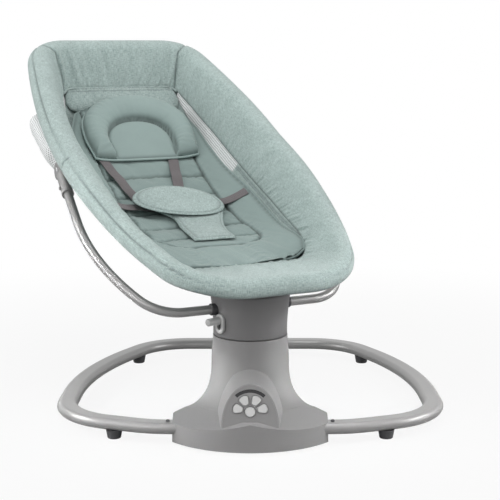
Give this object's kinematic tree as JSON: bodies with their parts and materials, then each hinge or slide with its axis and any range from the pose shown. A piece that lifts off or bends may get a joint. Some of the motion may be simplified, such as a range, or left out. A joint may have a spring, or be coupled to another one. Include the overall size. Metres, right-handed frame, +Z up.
{
  "type": "baby swing",
  "caption": "Baby swing: egg-shaped reclined fabric seat with harness on bent arms over a motor hub, standing on a flared pedestal and a tube ring with rubber feet.",
  "frame": {"origin": "on the floor under the hub's axis, at the middle of the pedestal's floor pad", "axes": "+X to the right of the pedestal's front, +Y to its back, +Z up; the seat is stored swayed and reclined as pictured"},
  "size_m": [0.7394, 0.7678, 0.6183],
  "materials": {
    "pedestal_grey": "matte",
    "dark_plastic": "matte",
    "rubber": "matte",
    "tube_grey": "satin",
    "steel": "satin",
    "panel_grey": "matte",
    "board_green": "matte",
    "button_grey": "satin",
    "gear_white": "satin",
    "hub_grey": "matte",
    "heather_fabric": "woven",
    "sling_fabric": "woven",
    "mesh_fabric": "open mesh",
    "webbing": "woven"
  },
  "bodies": {
    "base": {"pedestal_housing": "pedestal_grey", "base_plate": "dark_plastic", "floor_pad": "rubber", "ring_tube_left": "tube_grey", "ring_tube_right": "tube_grey", "ring_joiner": "steel", "foot_front_left": "rubber", "foot_front_right": "rubber", "foot_rear_left": "rubber", "foot_rear_right": "rubber", "control_panel": "panel_grey", "crescent_window": "dark_plastic", "control_board": "board_green", "gear_motor": "dark_plastic", "bearing_upper": "steel", "bearing_lower": "steel", "speaker": "dark_plastic", "power_inlet": "dark_plastic"},
    "hub": {"spindle": "steel", "spindle_gear": "gear_white", "hub_shell": "hub_grey", "hub_cap": "hub_grey", "lever_escutcheon": "button_grey", "arm_tube_left": "tube_grey", "arm_tube_right": "tube_grey", "arm_collar_left": "dark_plastic", "arm_collar_right": "dark_plastic", "side_connector_left": "button_grey", "side_connector_right": "button_grey"},
    "seat": {"rim_hoop_head": "steel", "rim_hoop_foot": "steel", "rim_cover_head": "heather_fabric", "rim_cover_foot": "heather_fabric", "pivot_bracket_left": "steel", "pivot_bracket_right": "steel", "pivot_pin_left": "steel", "pivot_pin_right": "steel", "seat_sling": "sling_fabric", "mesh_panel_left": "mesh_fabric", "mesh_panel_right": "mesh_fabric", "insert_pad": "sling_fabric", "head_pillow": "sling_fabric", "shoulder_strap_left": "webbing", "shoulder_strap_right": "webbing", "waist_strap_left": "webbing", "waist_strap_right": "webbing", "crotch_piece": "heather_fabric", "buckle_body": "dark_plastic", "buckle_pad": "heather_fabric"},
    "pinion": {"motor_pinion": "gear_white"},
    "lever": {"lock_lever": "button_grey"},
    "release": {"buckle_release": "button_grey"},
    "lock_button_left": {"lock_button_left": "dark_plastic"},
    "lock_button_right": {"lock_button_right": "dark_plastic"},
    "button_centre": {"button_centre": "button_grey"},
    "button_left_low": {"button_left_low": "button_grey"},
    "button_left_high": {"button_left_high": "button_grey"},
    "button_right_high": {"button_right_high": "button_grey"},
    "button_right_low": {"button_right_low": "button_grey"}
  },
  "joints": [
    {"name": "hub_swing", "type": "hinge", "parent": "base", "child": "hub", "pos_m": [0, 0, 0.151], "axis": [0, 0, 1], "range_deg": [-57, 3]},
    {"name": "seat_recline", "type": "hinge", "parent": "hub", "child": "seat", "pos_m": [-0.14696, 0.28842, 0.3934], "axis": [-0.891, -0.454, 0], "range_deg": [0, 14]},
    {"name": "pinion_spin", "type": "hinge", "parent": "base", "child": "pinion", "pos_m": [0, 0.0565, 0.046], "axis": [0, 0, 1], "range_deg": [-12, 228]},
    {"name": "lever_slide", "type": "slide", "parent": "hub", "child": "lever", "axis": [0, 0, -1], "range_m": [0, 0.01]},
    {"name": "release_press", "type": "slide", "parent": "seat", "child": "release", "axis": [-0.4252, 0.8346, 0.3502], "range_m": [0, 0.002], "stiffness_N_per_m": 600},
    {"name": "lock_press_left", "type": "slide", "parent": "base", "child": "lock_button_left", "axis": [0, 0, -1], "range_m": [0, 0.0024], "stiffness_N_per_m": 400},
    {"name": "lock_press_right", "type": "slide", "parent": "base", "child": "lock_button_right", "axis": [0, 0, -1], "range_m": [0, 0.0024], "stiffness_N_per_m": 400},
    {"name": "press_centre", "type": "slide", "parent": "base", "child": "button_centre", "axis": [0, 0.8829, -0.4695], "range_m": [0, 0.0012], "stiffness_N_per_m": 400},
    {"name": "press_left_low", "type": "slide", "parent": "base", "child": "button_left_low", "axis": [0, 0.8829, -0.4695], "range_m": [0, 0.0012], "stiffness_N_per_m": 400},
    {"name": "press_left_high", "type": "slide", "parent": "base", "child": "button_left_high", "axis": [0, 0.8829, -0.4695], "range_m": [0, 0.0012], "stiffness_N_per_m": 400},
    {"name": "press_right_high", "type": "slide", "parent": "base", "child": "button_right_high", "axis": [0, 0.8829, -0.4695], "range_m": [0, 0.0012], "stiffness_N_per_m": 400},
    {"name": "press_right_low", "type": "slide", "parent": "base", "child": "button_right_low", "axis": [0, 0.8829, -0.4695], "range_m": [0, 0.0012], "stiffness_N_per_m": 400}
  ],
  "couplings": [
    {"joint": "pinion_spin", "follows": "hub_swing", "ratio": -4}
  ]
}
